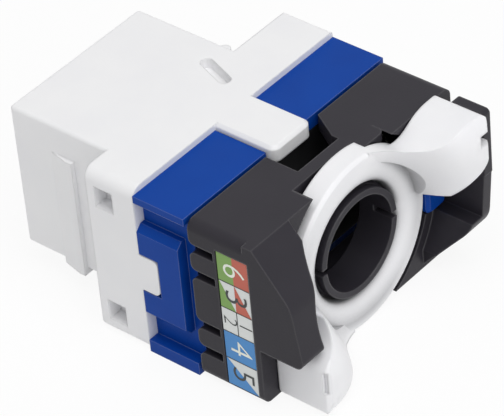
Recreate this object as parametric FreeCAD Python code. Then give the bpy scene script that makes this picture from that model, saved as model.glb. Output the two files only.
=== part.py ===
"""Tool-less keystone jack: front housing, contact block, wire guide and turning lock ring.

Frame: +Y runs from the plug face to the cable entry, +Z is up as the jack lies on its long
side, and X = 0 is the plane of the cable tube.  Z = 0 is the surface that the jack lies on.
The shapes are built with Y = 0 at the plug face, and save() moves the origin to the middle of
the jack's length.  Angles about the tube are counted from the -X side towards +Z.
"""
import FreeCAD, Part
import math
import os
from FreeCAD import Vector

# ---- driving dimensions, millimetres and degrees ----
BODY_W = 26.2            # widest part, across X
BODY_H = 17.2            # collar height, Z
AXIS_Z = BODY_H / 2      # height of the cable tube's axis
FIT = 0.10               # clearance between moulded parts
PAST = 1.0               # cutters run this far past the faces that they cut

PORT_W = 16.6            # plug end, across X
PORT_STEP = 2.6          # plug end's underside above the collar's
PORT_L = 10.9            # plug face to collar
PORT_SIDE = 2.9          # collar stands this far past the plug end on the catch side
COLLAR_T = 5.2           # collar, along Y
EDGE_R = 0.35            # small moulded edge radius
TOP_EDGE_R = 1.1         # rounded upper edge of the collar

PLUG_W = 11.9            # plug socket width
PLUG_T = 6.8             # plug socket height without the tab notch
PLUG_X0 = -2.2           # contact-side wall of the socket
NOTCH_W = 6.2            # tab notch, first step
NOTCH_T = 1.5
KEY_W = 3.4              # tab notch, second step
KEY_T = 1.4
SOCKET_L = 12.0          # plug depth
CARRIER_T = 2.2          # contact carrier plate
BOARD_T = 1.0            # circuit board
BOARD_W = 20.6
BOARD_COVER = 1.25       # board's upper edge below the collar's top
BOARD_EDGE = 0.7         # board's lower edge below its outer pins
TONGUE_T = 1.9           # carrier tongue below the spring contacts
TONGUE_Y0 = 2.6
PIN_IN = 1.2             # row of blade pins from the board's edge

CATCH_Y = 5.6            # crest of the fixed catch
CATCH_OUT = 0.45         # catch height above the side face
CATCH_L = 2.6
CATCH_DROP = 3.0         # top of the fixed catch below the top face
SLOT_L = 4.1             # slot beside the flexing catch
SLOT_W = 1.15
SLOT_Y = 11.4
SLOT_X = -3.2
SLOT_TURN = -20.0
SLOT_D = 1.0             # it is a blind pit
RIDGE_Y = 9.7            # catch on the flexing side
RIDGE_R = 0.55

POCKET_L = 1.95          # square pockets in the collar's side faces
POCKET_H = 2.1
POCKET_D = 1.4
POCKET_Y = 1.85          # pocket centre behind the collar's front face
POCKET_Z = 2.55          # pocket centre from the collar's top and bottom

TAB_W = 4.9              # tongue over the contact block, top and bottom
TAB_L = 6.3
TAB_T = 1.5
SIDE_TAB_W = 3.7         # snap tab on each side face
SIDE_TAB_L = 1.9
SIDE_TAB_T = 0.8
TAB_R = 0.8              # corner radii of the tongues and the snap tabs
TAB_EDGE_R = 0.3
SIDE_TAB_R = 0.6

BLOCK_L = 5.4            # contact block, along Y
BLOCK_DROP = 0.6         # block top below the collar top
SLAB_T = 0.7             # its top and bottom slabs
SLAB_LOW_T = 1.25
WAIST_IN = 1.1           # how far the side grooves go in
CHEEK_H = 9.7            # raised middle of each side
CHEEK_L = 4.4
CHEEK_R = 0.6

INSERT_T = 0.8           # dark insert in the block's rear face
INSERT_WALL = 0.5        # its sides from the blades
INSERT_ROOT = 0.05       # and from the roots of the bayonet posts
INSERT_LEDGE = 0.4       # its upper and lower edges from the grooves for the tongues
CROSS_W = 0.9            # cross on the insert that parts the wire pairs
CROSS_L = 7.0
CROSS_T = 1.1

SEAT_GAP = 0.35          # block to guide when locked
GUIDE_DROP = 0.6         # guide's top below the collar's top
GUIDE_LOW = 0.2          # guide's underside above the base
GUIDE_FRONT_L = 3.4      # toothed part, ahead of the rear plate
PLATE_T = 1.2
FRAME_L = 2.1            # frame round the ring, behind the plate
TOOTH_DEPTH = 3.5        # thickness of the toothed sides
SLOT_H = 0.85            # wire slot
SLOT_DEEP = 2.5
SLOT_EDGE = 3.25         # outer slots from the base and from the collar's top
TOOTH_R = 0.55
TOOTH_R_MOST = 0.9       # share of the wall outside the outer slots that their rounding may take
TRAY_WALL = 1.6          # guide's top and bottom walls
WINDOW_LEFT = 3.0        # opening in the guide's top wall, from the tube axis
WINDOW_RIGHT = 2.3
WINDOW_FLARE = 1.55      # its right side widens by this towards the block
WINDOW_BEND = 2.7        # over this length
CORNER_R = 0.9           # long outer edges of the guide

TUBE_IN = 4.35           # cable tube
TUBE_OUT = 4.95
TUBE_SUNK = 0.2          # tube's end inside the ring's mouth
TUBE_LIP = 0.22          # collet bead that keeps the ring on
BEAD_L = 0.45
BEAD_GAP = 0.1
COLLET_SLOT = 0.6
COLLET_FOOT = 0.3        # solid foot of the tube behind the plate

RING_LIFT = 0.05         # lock ring clears the surface the jack lies on
RIM_R = 0.3
RING_STEP = 0.5          # shoulder behind the ring's front face, held by the collet bead
MOUTH_R = 7.3            # flared mouth at the ring's rear face
MOUTH_L = 1.25
MOUTH_BEND = 0.28        # share of its width and length left at the middle of the curve
RING_L = 2.1
RING_GAP = 0.4           # plate to ring
FRAME_GAP = 0.3          # lug to the circular recess in the guide's frame
TOWER_GAP = 1.3          # lug to the towers
TOWER_L = 4.65           # towers behind the frame
TOWER_DOWN = 2.5         # tall tower reaches this far below the tube axis
TOWER_RAMP = 4.4         # height of its sloping back
TOWER_LEAN = 1.0         # lean of the near tower below its slope
KNEE_R = 3.0             # blend between the two
TOWER_R_LOW = 0.8        # rounded lower end
TOWER_W = 4.8            # tower's upper end, from the side face
GUARD_T = 1.0            # thin wall beside the upper wing
GUARD_IN = 0.7
GUARD_GAP = 1.25
GUARD_R = 0.4
LOBE_L = 1.3             # click finger over the ring, behind the plate
LOBE_W = 2.9
LOBE_T = 0.9
LOBE_R = 0.5

WING_END_IN = 1.8        # outer end of a wing from the side face
WING_DROP = 0.1          # long edge of a wing below the ring's top
WING_START = 1.7         # wing's root, from the plane of the axis
WING_LEAVE = 4.2         # the long edge leaves the ring's circle here
WING_DIP = (5.6, 1.35)   # passes this hollow, below the ring's top
WING_RISE = 9.9          # and is straight from here
WING_LOW = 0.7           # lower edge's root above the axis
WING_BOW = 0.5
WING_TIP = 3.3           # lower corner of a wing
WING_TIP_R = 1.6
WING_END_R = 0.4         # bevelled rear edge of the outer end
WING_L = 5.4             # wing, along Y
WING_NOTCH = 1.3         # open notch in the upper wing's outer end
WING_NOTCH_H = 1.5
WING_NOTCH_V = 6.3
WING_NOTCH_DRAFT = 0.2
WING_ROUND = 0.7
GROOVE_W = 0.4           # shallow groove in the lower wing's outer end
GROOVE_L = 2.2
GROOVE_D = 0.35
GROOVE_V = 6.0
GROOVE_IN = 0.25
SCOOP_TOP = (1.1, 5.2, 9.9)       # thumb slope along the wing's long edge: start, middle, end
SCOOP_TOP_MID = 0.6               # share of the climb reached at its middle
SCOOP_LOW = (8.2, 8.9, 11.2)      # and along its lower edge, where it is steep
SCOOP_LOW_MID = 0.62
SCOOP_ROOT = (3.0, 0.4)  # steepness where it leaves the ring's rim: lower edge, long edge
SCOOP_FALLS = ((0.0, 1.8), (0.42, 0.0), (0.8, 0.0), (1.0, 1.3))     # crown: level, fall of the back
SCOOP_LIP = 0.2          # and of its highest line below the wing's end

POST_V = 0.55            # upper edge of the bayonet posts above the tube axis
POST_T = 1.65            # post shank
BLADE_GAP = 0.175        # shank to the blade beside it
HEAD_W = 3.4             # hooked head of the post
POST_BEVEL = 0.3
HEAD_R = 0.6
HOOK_T = 1.2             # head thickness
HOOK_GAP = 0.15          # hook to lug, and hook to the ring's rim
POST_GAP = 0.2           # post to the guide
LUG_GAP = 0.35           # post to the lug
TURN = 50.0              # ring travel
STROKE = 2.0             # guide travel
LUG_REACH = 0.65         # helical lug past the ring's rim
LUG_T = 0.9
LUG_LEAD = 2.0           # lug past the hook's upper edge, degrees
LUG_TAIL = 49.0          # lug below the hook's upper edge, degrees
SKIRT_T = 0.95
ANGLE_GAP = 1.0          # clearance at each end of the turn, degrees

CONTACTS = 8
PITCH = 1.02             # plug contacts
WIRE_T = 0.34            # spring contact wire
SPRING_TAIL = 0.4        # wire behind the board
SPRING_BEND = (0.9, 1.6, 0.7)     # nose and start of the bend from the tongue's end, and its rise
SPRING_RISE = 3.4        # tip above the tongue
SPRING_TIP = 3.2         # tip short of the socket's end
IDC_T = 0.5              # insulation-displacement blades
IDC_W = 1.7
IDC_REACH = 2.6          # blade above the block
IDC_SLIT = 0.32
IDC_IN = 2.85            # blade centre from the side face
IDC_TAIL = 1.3
IDC_POINT = 0.5          # bevelled tips of the fork
IDC_THROAT = 0.7         # funnel into the slit
IDC_HEEL = 0.4           # slit's end behind the block

LABEL_L = 3.4
LABEL_DROP = 1.7         # label's upper edge below the guide's top
LABEL_T = 0.15
LABEL_IN = 0.25
LABEL_Y = 2.75           # label's front edge behind the guide's front edge
LABEL_Z = 0.7            # label's lower edge

# ---- places worked out from them ----
PORT_X1 = BODY_W / 2 - PORT_SIDE
PORT_X0 = PORT_X1 - PORT_W
PORT_H = BODY_H - PORT_STEP
PORT_MID_Z = PORT_STEP + PORT_H / 2
BOARD_LOW = SLOT_EDGE - BOARD_EDGE
BOARD_H = BODY_H - BOARD_COVER - BOARD_LOW
BOARD_MID_Z = BOARD_LOW + BOARD_H / 2
PIN_X = BOARD_W / 2 - PIN_IN
SLOT_OUTER = AXIS_Z - SLOT_EDGE
SLOT_INNER = SLOT_OUTER / 2
GUARD_X = GUARD_IN - BODY_W / 2
IDC_X = BODY_W / 2 - IDC_IN
INSERT_H = 2 * (AXIS_Z - TAB_T - FIT - INSERT_LEDGE)
COLLAR_Y = PORT_L
BLOCK_Y = COLLAR_Y + COLLAR_T
BLOCK_END = BLOCK_Y + BLOCK_L
BLOCK_TOP = BODY_H - BLOCK_DROP
GUIDE_TOP = BODY_H - GUIDE_DROP
GUIDE_Y = BLOCK_END + SEAT_GAP
PLATE_Y = GUIDE_Y + GUIDE_FRONT_L
FRAME_Y = PLATE_Y + PLATE_T
TOWER_Y = FRAME_Y + FRAME_L
BOARD_Y = SOCKET_L + CARRIER_T
SPRING_X = PLUG_X0 - 2.5 * WIRE_T
RING_R = AXIS_Z - RING_LIFT
RING_BORE_R = TUBE_OUT + FIT
RING_STEP_R = TUBE_OUT + TUBE_LIP + FIT
RING_Y = FRAME_Y + RING_GAP
RING_END = RING_Y + RING_L
LUG_OUT = RING_R + LUG_REACH
FRAME_R = LUG_OUT + FRAME_GAP
TOWER_R = LUG_OUT + TOWER_GAP
TOWER_LOW = AXIS_Z - TOWER_DOWN
TOWER_X = BODY_W / 2 - TOWER_W
WING_U = BODY_W / 2 - WING_END_IN
WING_V = RING_R - WING_DROP
WING_Y = RING_END - RIM_R
WING_END = WING_Y + WING_L
WING_LOW_U = math.sqrt(RING_R ** 2 - WING_LOW ** 2)
POST_W = POST_V + SLOT_INNER - IDC_W / 2 - BLADE_GAP
POST_IN = LUG_OUT + LUG_GAP
POST_OUT = POST_IN + POST_T
INSERT_W = 2 * min(IDC_X - IDC_T / 2 - INSERT_WALL, POST_IN - INSERT_ROOT)
HOOK_Y = RING_Y + LUG_T + HOOK_GAP
HOOK_ANGLE = math.degrees(math.asin(POST_V / RING_R))
SHOULDER_Y = RING_Y + RING_STEP
BEAD_Y = SHOULDER_Y + BEAD_GAP
TUBE_END = RING_END - TUBE_SUNK
LUG_SLOPE = STROKE / math.radians(TURN)
LABEL_H = GUIDE_TOP - LABEL_DROP - LABEL_Z
AXIS = Vector(0, 0, AXIS_Z)
ALONG = Vector(0, 1, 0)


# ---- small helpers ----
def box(x0, x1, y0, y1, z0, z1):
    """Block between two corners."""
    return Part.makeBox(x1 - x0, y1 - y0, z1 - z0, Vector(x0, y0, z0))


def rod(radius, y0, y1, x=0.0, z=AXIS_Z):
    """Round bar along Y."""
    return Part.makeCylinder(radius, y1 - y0, Vector(x, y0, z), ALONG)


def extrude(points, direction):
    """Straight-sided outline pushed along a direction."""
    return Part.Face(Part.makePolygon(points + points[:1])).extrude(direction)


def turned(shape, angle):
    """Copy turned about the tube axis."""
    copy = shape.copy()
    copy.rotate(AXIS, ALONG, angle)
    return copy


def pair(shape):
    """Same shape on both sides of the jack, mirrored."""
    return [shape, shape.mirror(Vector(0, 0, 0), Vector(1, 0, 0))]


def half_turned(shape):
    """Copy on the opposite side of the tube axis."""
    return turned(shape, 180.0)


def polar(radius, angle, y):
    """Point at a radius and angle about the tube."""
    a = math.radians(angle)
    return Vector(-radius * math.cos(a), y, AXIS_Z + radius * math.sin(a))


def sector(r0, r1, y0, y1, a0, a1):
    """Part of a flat ring between two angles."""
    middle = (a0 + a1) / 2
    outer = Part.Arc(polar(r1, a0, y0), polar(r1, middle, y0), polar(r1, a1, y0)).toShape()
    inner = Part.Arc(polar(r0, a1, y0), polar(r0, middle, y0), polar(r0, a0, y0)).toShape()
    side_a = Part.makeLine(polar(r1, a1, y0), polar(r0, a1, y0))
    side_b = Part.makeLine(polar(r0, a0, y0), polar(r1, a0, y0))
    outline = Part.Wire([outer, side_a, inner, side_b])
    return Part.Face(outline).extrude(Vector(0, y1 - y0, 0))


def rounded(shape, radius, wanted):
    """Fillet every edge that the test accepts."""
    edges = [e for e in shape.Edges if wanted(e)]
    return shape.makeFillet(radius, edges) if edges else shape


def bevelled(shape, size, wanted):
    """Chamfer every edge that the test accepts."""
    return shape.makeChamfer(size, [e for e in shape.Edges if wanted(e)])


def runs_along(edge, axis):
    """True for a straight edge along the X, Y or Z axis."""
    if edge.Curve.TypeId != "Part::GeomLine":
        return False
    d = edge.Curve.Direction
    return abs(abs((d.x, d.y, d.z)["XYZ".index(axis)]) - 1) < 1e-6


def near(value, target, reach=1e-3):
    """True when two lengths agree."""
    return abs(value - target) < reach


def middle(edge):
    """Centre of an edge's box."""
    return edge.BoundBox.Center


def save(name, shape):
    """Write one node, with the origin at the middle of the jack's length."""
    shape.translate(Vector(0, -WING_END / 2, 0))
    shape.exportStep(os.path.join("parts", name + ".step"))
    print(name, len(shape.Solids), "solid(s)", shape.isValid(), round(shape.Volume, 2))


# ---- front housing ----
def port_block():
    """Plug end with its fixed catch and the ridge on the flexing side."""
    block = box(PORT_X0, PORT_X1, 0, COLLAR_Y + EDGE_R, PORT_STEP, BODY_H)
    block = rounded(block, EDGE_R, lambda e: near(middle(e).y, 0) or runs_along(e, "Y"))
    z0 = PORT_STEP - CATCH_OUT
    catch = extrude([Vector(PORT_X1 - PAST, CATCH_Y - CATCH_L / 2, z0),
                     Vector(PORT_X1, CATCH_Y - CATCH_L / 2, z0),
                     Vector(PORT_X1 + CATCH_OUT, CATCH_Y + CATCH_L / 4, z0),
                     Vector(PORT_X1 + CATCH_OUT, CATCH_Y + CATCH_L / 2, z0),
                     Vector(PORT_X1 - PAST, CATCH_Y + CATCH_L / 2, z0)],
                    Vector(0, 0, BODY_H - CATCH_DROP - z0))
    ridge = Part.makeCylinder(RIDGE_R, PORT_H - 2 * EDGE_R,
                              Vector(PORT_X0, RIDGE_Y, PORT_STEP + EDGE_R), Vector(0, 0, 1))
    return block.fuse([catch, ridge])


def collar():
    """Wide rear part that stops against the panel."""
    body = box(-BODY_W / 2, BODY_W / 2, COLLAR_Y, BLOCK_Y, 0, BODY_H)
    body = rounded(body, TOP_EDGE_R, lambda e: runs_along(e, "Y") and middle(e).x > 0)
    return rounded(body, EDGE_R, lambda e: runs_along(e, "Y") and middle(e).x < 0)


def plug_socket():
    """Hollow for the plug, with the stepped notch for its tab and room for the tongue."""
    x0 = PLUG_X0 - TONGUE_T
    x1 = PLUG_X0 + PLUG_T
    half = PLUG_W / 2
    hollow = box(x0, x1, -PAST, SOCKET_L, PORT_MID_Z - half, PORT_MID_Z + half)
    notch = box(x1, x1 + NOTCH_T, -PAST, SOCKET_L, PORT_MID_Z - NOTCH_W / 2, PORT_MID_Z + NOTCH_W / 2)
    x2 = x1 + NOTCH_T
    key = box(x2, x2 + KEY_T, -PAST, SOCKET_L, PORT_MID_Z - KEY_W / 2, PORT_MID_Z + KEY_W / 2)
    lip = box(x0, PLUG_X0, -PAST, TONGUE_Y0 - FIT, PORT_MID_Z - half, PORT_MID_Z + half)
    return hollow.fuse([notch, key]).cut(lip)


def board_room():
    """Space inside the collar for the contact carrier and the circuit board."""
    half_w = BOARD_W / 2 + FIT
    half_h = BOARD_H / 2 + FIT
    return box(-half_w, half_w, SOCKET_L, BLOCK_Y + PAST,
               BOARD_MID_Z - half_h, BOARD_MID_Z + half_h)


def flex_slot():
    """Slanted round-ended slot beside the flexing catch."""
    straight = SLOT_L - SLOT_W
    slot = box(-SLOT_W / 2, SLOT_W / 2, -straight / 2, straight / 2, 0, SLOT_D + PAST)
    for end in (-1, 1):
        slot = slot.fuse(Part.makeCylinder(SLOT_W / 2, SLOT_D + PAST, Vector(0, end * straight / 2, 0)))
    slot.rotate(Vector(0, 0, 0), Vector(0, 0, 1), SLOT_TURN)
    slot.translate(Vector(SLOT_X, SLOT_Y, BODY_H - SLOT_D))
    return slot


def collar_pockets():
    """Square pockets, two in each side face."""
    pockets = []
    y0 = COLLAR_Y + POCKET_Y - POCKET_L / 2
    for side in (-1, 1):
        x_out = side * (BODY_W / 2 + PAST)
        x_in = side * (BODY_W / 2 - POCKET_D)
        for z in (POCKET_Z, BODY_H - POCKET_Z):
            pockets.append(box(min(x_out, x_in), max(x_out, x_in), y0, y0 + POCKET_L,
                               z - POCKET_H / 2, z + POCKET_H / 2))
    return pockets


def cover_tabs():
    """Tongues that lie over the contact block, and the snap tabs on its sides."""
    top = box(-TAB_W / 2, TAB_W / 2, BLOCK_Y - PAST, BLOCK_Y + TAB_L, BODY_H - TAB_T, BODY_H)
    top = rounded(top, TAB_R, lambda e: runs_along(e, "Z") and middle(e).y > BLOCK_Y)
    top = bevelled(top, TAB_EDGE_R, lambda e: near(middle(e).z, BODY_H) and middle(e).y > BLOCK_Y)
    low = box(-TAB_W / 2, TAB_W / 2, BLOCK_Y - PAST, BLOCK_Y + TAB_L, 0, TAB_T)
    low = rounded(low, TAB_R, lambda e: runs_along(e, "Z") and middle(e).y > BLOCK_Y)
    tabs = [top, low]
    for side in (-1, 1):
        x_out = side * BODY_W / 2
        x_in = x_out - side * SIDE_TAB_T
        tab = box(min(x_out, x_in), max(x_out, x_in), BLOCK_Y - PAST, BLOCK_Y + SIDE_TAB_L,
                  AXIS_Z - SIDE_TAB_W / 2, AXIS_Z + SIDE_TAB_W / 2)
        tabs.append(rounded(tab, SIDE_TAB_R, lambda e: runs_along(e, "X") and middle(e).y > BLOCK_Y))
    return tabs


def front_housing():
    """White moulding: plug end, collar and tabs."""
    body = port_block().fuse([collar()] + cover_tabs())
    return body.cut([plug_socket(), board_room(), flex_slot()] + collar_pockets()).removeSplitter()


# ---- contacts inside the plug end ----
def contact_carrier():
    """Plate behind the socket with a grooved tongue below the springs."""
    half_w = BOARD_W / 2
    half_h = BOARD_H / 2
    plate = box(-half_w, half_w, SOCKET_L, SOCKET_L + CARRIER_T,
                BOARD_MID_Z - half_h, BOARD_MID_Z + half_h)
    x0 = PLUG_X0 - TONGUE_T + FIT
    half = PLUG_W / 2 - FIT
    tongue = box(x0, PLUG_X0 - 2 * WIRE_T, TONGUE_Y0, SOCKET_L + FIT,
                 PORT_MID_Z - half, PORT_MID_Z + half)
    body = plate.fuse(tongue)
    for z in contact_heights():
        body = body.cut(box(PLUG_X0 - 3 * WIRE_T, PLUG_X0 - WIRE_T / 2, TONGUE_Y0 - PAST, BOARD_Y + PAST,
                            z - WIRE_T / 2 - FIT / 2, z + WIRE_T / 2 + FIT / 2))
    return body


def contact_heights():
    """Heights of the eight plug contacts."""
    return [PORT_MID_Z + (i - (CONTACTS - 1) / 2) * PITCH for i in range(CONTACTS)]


def spring_contact(z):
    """Bent contact wire: along the groove, over the tongue's end and back into the socket."""
    nose, start, rise = SPRING_BEND
    path = [Vector(SPRING_X, BOARD_Y + BOARD_T + SPRING_TAIL, z), Vector(SPRING_X, TONGUE_Y0 + start, z),
            Vector(SPRING_X + rise, TONGUE_Y0 + nose, z),
            Vector(SPRING_X + SPRING_RISE, SOCKET_L - SPRING_TIP, z)]
    half = WIRE_T / 2
    pieces = []
    for a, b in zip(path, path[1:]):
        step = b - a
        side = Vector(-step.y, step.x, 0).normalize() * half
        drop = Vector(0, 0, -half)
        pieces.append(extrude([a + side + drop, b + side + drop, b - side + drop, a - side + drop],
                              Vector(0, 0, WIRE_T)))
    for p in path[1:-1]:
        pieces.append(Part.makeCylinder(half, WIRE_T, p + Vector(0, 0, -half)))
    return pieces[0].fuse(pieces[1:]).removeSplitter()


def blade_places():
    """Side and height of the eight insulation-displacement blades."""
    heights = (-SLOT_OUTER, -SLOT_INNER, SLOT_INNER, SLOT_OUTER)
    return [(side, AXIS_Z + h) for side in (1, -1) for h in heights]


def board_hole(radius, x, z):
    """Pin hole, eight-sided to keep the board's mesh light."""
    turns = [math.radians(45 * i) for i in range(8)]
    ring = [Vector(x + radius * math.cos(t), BOARD_Y - PAST, z + radius * math.sin(t)) for t in turns]
    return extrude(ring, Vector(0, BOARD_T + 2 * PAST, 0))


def circuit_board():
    """Board that joins the plug contacts to the blades, drilled for both."""
    body = box(-BOARD_W / 2, BOARD_W / 2, BOARD_Y, BOARD_Y + BOARD_T,
               BOARD_MID_Z - BOARD_H / 2, BOARD_MID_Z + BOARD_H / 2)
    holes = [board_hole(WIRE_T * 0.75, SPRING_X, z) for z in contact_heights()]
    holes += [board_hole(IDC_T, side * PIN_X, z) for side, z in blade_places()]
    return body.cut(holes)


def idc_contact(side, z):
    """Forked blade with a cranked tail that reaches the board."""
    x = side * IDC_X
    y0 = BLOCK_Y + IDC_TAIL
    y1 = BLOCK_END + IDC_REACH
    half = IDC_W / 2
    slit = IDC_SLIT / 2
    x0 = x - IDC_T / 2
    side_half = [(y0, half), (y1 - IDC_POINT, half), (y1, half * 0.75),
                 (y1 - IDC_THROAT, slit), (BLOCK_END + IDC_HEEL, slit)]
    outline = [Vector(x0, y, z - h) for y, h in side_half]
    outline += [Vector(x0, y, z + h) for y, h in reversed(side_half)]
    blade = extrude(outline, Vector(IDC_T, 0, 0))
    tail_x = side * PIN_X
    t = IDC_T / 2
    foot = box(min(x, tail_x) - t, max(x, tail_x) + t, y0 - IDC_T, y0, z - t, z + t)
    pin = box(tail_x - t * 0.7, tail_x + t * 0.7, BOARD_Y, y0, z - t * 0.7, z + t * 0.7)
    return blade.fuse([foot, pin]).removeSplitter()


# ---- blue contact block ----
def bayonet_post():
    """Post with an inward hook that holds the ring's lug."""
    end = HOOK_Y + HOOK_T
    top = AXIS_Z + POST_V
    shank = box(-POST_OUT, -POST_IN, BLOCK_END - PAST, end, top - POST_W, top)
    inner = -RING_R - HOOK_GAP
    head = box(-POST_OUT, inner, HOOK_Y, end, top - HEAD_W, top)
    head = rounded(head, HEAD_R, lambda e: near(middle(e).z, top - HEAD_W) and runs_along(e, "Y"))
    post = shank.fuse(head).removeSplitter()
    return bevelled(post, POST_BEVEL, lambda e: near(middle(e).y, end) and not near(middle(e).x, inner))


def idc_block():
    """Blue moulding that carries the blades and the two bayonet posts."""
    half = BODY_W / 2
    waist = half - WAIST_IN
    core = box(-waist, waist, BLOCK_Y, BLOCK_END, 0, BLOCK_TOP)
    top = box(-half, half, BLOCK_Y, BLOCK_END, BLOCK_TOP - SLAB_T, BLOCK_TOP)
    low = box(-half, half, BLOCK_Y, BLOCK_END, 0, SLAB_LOW_T)
    body = core.fuse([top, low])
    for side in (-1, 1):
        x_in = side * (waist - PAST)
        x_out = side * half
        cheek = box(min(x_in, x_out), max(x_in, x_out), BLOCK_Y, BLOCK_Y + CHEEK_L,
                    AXIS_Z - CHEEK_H / 2, AXIS_Z + CHEEK_H / 2)
        cheek = bevelled(cheek, CHEEK_R, lambda e: runs_along(e, "Y") and near(middle(e).x, x_out))
        body = body.fuse(cheek)
    cuts = [block_tab_room_top(), block_tab_room_low(), insert_plate(FIT)]
    for side in (-1, 1):
        x_out = side * (half + PAST)
        x_in = side * (half - SIDE_TAB_T - FIT)
        cuts.append(box(min(x_in, x_out), max(x_in, x_out), BLOCK_Y - PAST, BLOCK_Y + SIDE_TAB_L + FIT,
                        AXIS_Z - SIDE_TAB_W / 2 - FIT, AXIS_Z + SIDE_TAB_W / 2 + FIT))
    for side, z in blade_places():
        x = side * IDC_X
        t = IDC_T / 2
        tail_x = side * PIN_X
        y_foot = BLOCK_Y + IDC_TAIL
        cuts.append(box(x - t, x + t, y_foot, BLOCK_END + PAST, z - IDC_W / 2, z + IDC_W / 2))
        cuts.append(box(min(x, tail_x) - t, max(x, tail_x) + t, BLOCK_Y - PAST, y_foot, z - t, z + t))
    return body.cut(cuts).fuse([bayonet_post(), half_turned(bayonet_post())]).removeSplitter()


def block_tab_room_top():
    """Groove under the housing's upper tongue."""
    half = TAB_W / 2 + FIT
    return box(-half, half, BLOCK_Y - PAST, BLOCK_END + PAST, BODY_H - TAB_T - FIT, BODY_H)


def block_tab_room_low():
    """Groove over the housing's lower tongue."""
    half = TAB_W / 2 + FIT
    return box(-half, half, BLOCK_Y - PAST, BLOCK_END + PAST, -PAST, TAB_T + FIT)


def insert_plate(gap):
    """Plate of the pair separator, or with a gap the seat that it is pressed into."""
    half_w = INSERT_W / 2 + gap
    half_h = INSERT_H / 2 + gap
    return box(-half_w, half_w, BLOCK_END - INSERT_T, BLOCK_END, AXIS_Z - half_h, AXIS_Z + half_h)


def pair_separator():
    """Dark insert with a low cross that parts the wire pairs."""
    end = BLOCK_END + CROSS_T
    upright = box(-CROSS_W / 2, CROSS_W / 2, BLOCK_END - FIT, end,
                  AXIS_Z - CROSS_L / 2, AXIS_Z + CROSS_L / 2)
    level = turned(upright, 90.0)
    return insert_plate(0).fuse([upright, level]).removeSplitter()


# ---- dark wire guide ----
def wire_slots():
    """Slots that the wires are laid in, open to the front."""
    slots = []
    for side, z in blade_places():
        x_in = side * (BODY_W / 2 - TOOTH_DEPTH - PAST)
        x_out = side * (BODY_W / 2 + PAST)
        slots.append(box(min(x_in, x_out), max(x_in, x_out), GUIDE_Y - PAST, GUIDE_Y + SLOT_DEEP,
                         z - SLOT_H / 2, z + SLOT_H / 2))
    return slots


def blade_rooms():
    """Pockets in the teeth that the blades enter."""
    rooms = []
    for side, z in blade_places():
        x = side * IDC_X
        half_x = IDC_T / 2 + FIT
        half_z = IDC_W / 2 + FIT
        rooms.append(box(x - half_x, x + half_x, GUIDE_Y - PAST, BLOCK_END + IDC_REACH + FIT,
                         z - half_z, z + half_z))
    return rooms


def tall_tower(lean):
    """Tower with a sloping back beside the ring."""
    top = GUIDE_TOP
    end = TOWER_Y + TOWER_L
    knee = Vector(TOWER_X, end - lean, top - TOWER_RAMP)
    outline = [Vector(TOWER_X, TOWER_Y - PAST, TOWER_LOW), Vector(TOWER_X, end, TOWER_LOW), knee,
               Vector(TOWER_X, TOWER_Y, top), Vector(TOWER_X, TOWER_Y - PAST, top)]
    body = extrude(outline, Vector(BODY_W / 2 - TOWER_X, 0, 0))
    body = rounded(body, KNEE_R, lambda e: runs_along(e, "X") and near(middle(e).z, knee.z))
    body = rounded(body, TOWER_R_LOW, lambda e: runs_along(e, "X") and near(middle(e).y, end)
                   and near(middle(e).z, TOWER_LOW))
    return body.cut(rod(TOWER_R, TOWER_Y - PAST, end + PAST))


def guard_wall():
    """Thin wall beside the end of the upper wing."""
    z0 = 2 * AXIS_Z - TOWER_LOW
    wall = box(GUARD_X, GUARD_X + GUARD_T, TOWER_Y + GUARD_GAP, TOWER_Y + TOWER_L, z0 - PAST, GUIDE_TOP)
    return rounded(wall, GUARD_R, lambda e: runs_along(e, "X") and middle(e).z > z0)


def click_finger():
    """Finger that drops into the ring's rim."""
    x1 = -WINDOW_RIGHT
    y1 = FRAME_Y + LOBE_L
    finger = box(x1 - LOBE_W, x1, PLATE_Y, y1, GUIDE_TOP - LOBE_T, GUIDE_TOP)
    return rounded(finger, LOBE_R, lambda e: runs_along(e, "Z") and near(middle(e).y, y1))


def cable_tube():
    """Tube with two collet slots and a bead that the ring snaps over."""
    tube = rod(TUBE_OUT, PLATE_Y, TUBE_END)
    bead = rod(TUBE_OUT + TUBE_LIP, BEAD_Y, BEAD_Y + BEAD_L)
    bead = bevelled(bead, TUBE_LIP * 0.9, lambda e: near(middle(e).y, BEAD_Y + BEAD_L))
    slot = box(-TUBE_OUT - PAST, TUBE_OUT + PAST, FRAME_Y + COLLET_FOOT, TUBE_END + PAST,
               AXIS_Z - COLLET_SLOT / 2, AXIS_Z + COLLET_SLOT / 2)
    return tube.fuse(bead).cut(slot)


def top_window():
    """Opening in the guide's top wall behind the housing's tongue."""
    z0 = GUIDE_TOP - TRAY_WALL - PAST
    right = -WINDOW_RIGHT
    wide = right - WINDOW_FLARE
    outline = [Vector(WINDOW_LEFT, GUIDE_Y - PAST, z0), Vector(WINDOW_LEFT, PLATE_Y, z0),
               Vector(right, PLATE_Y, z0), Vector(right, GUIDE_Y + WINDOW_BEND, z0),
               Vector(wide, GUIDE_Y, z0), Vector(wide, GUIDE_Y - PAST, z0)]
    return extrude(outline, Vector(0, 0, TRAY_WALL + 2 * PAST))


def post_room():
    """Way through the guide for a bayonet post and its head."""
    top = AXIS_Z + POST_V
    return box(-POST_OUT - POST_GAP, -RING_R, GUIDE_Y - PAST, HOOK_Y + HOOK_T + 2 * POST_GAP,
               top - HEAD_W - POST_GAP, top + POST_GAP)


def head_view():
    """Gap in the far tower behind the post's hooked head."""
    z0 = AXIS_Z + POST_V - HEAD_W - POST_GAP
    return box(GUARD_X + GUARD_T, 0, TOWER_Y, WING_END, z0, BODY_H)


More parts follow.
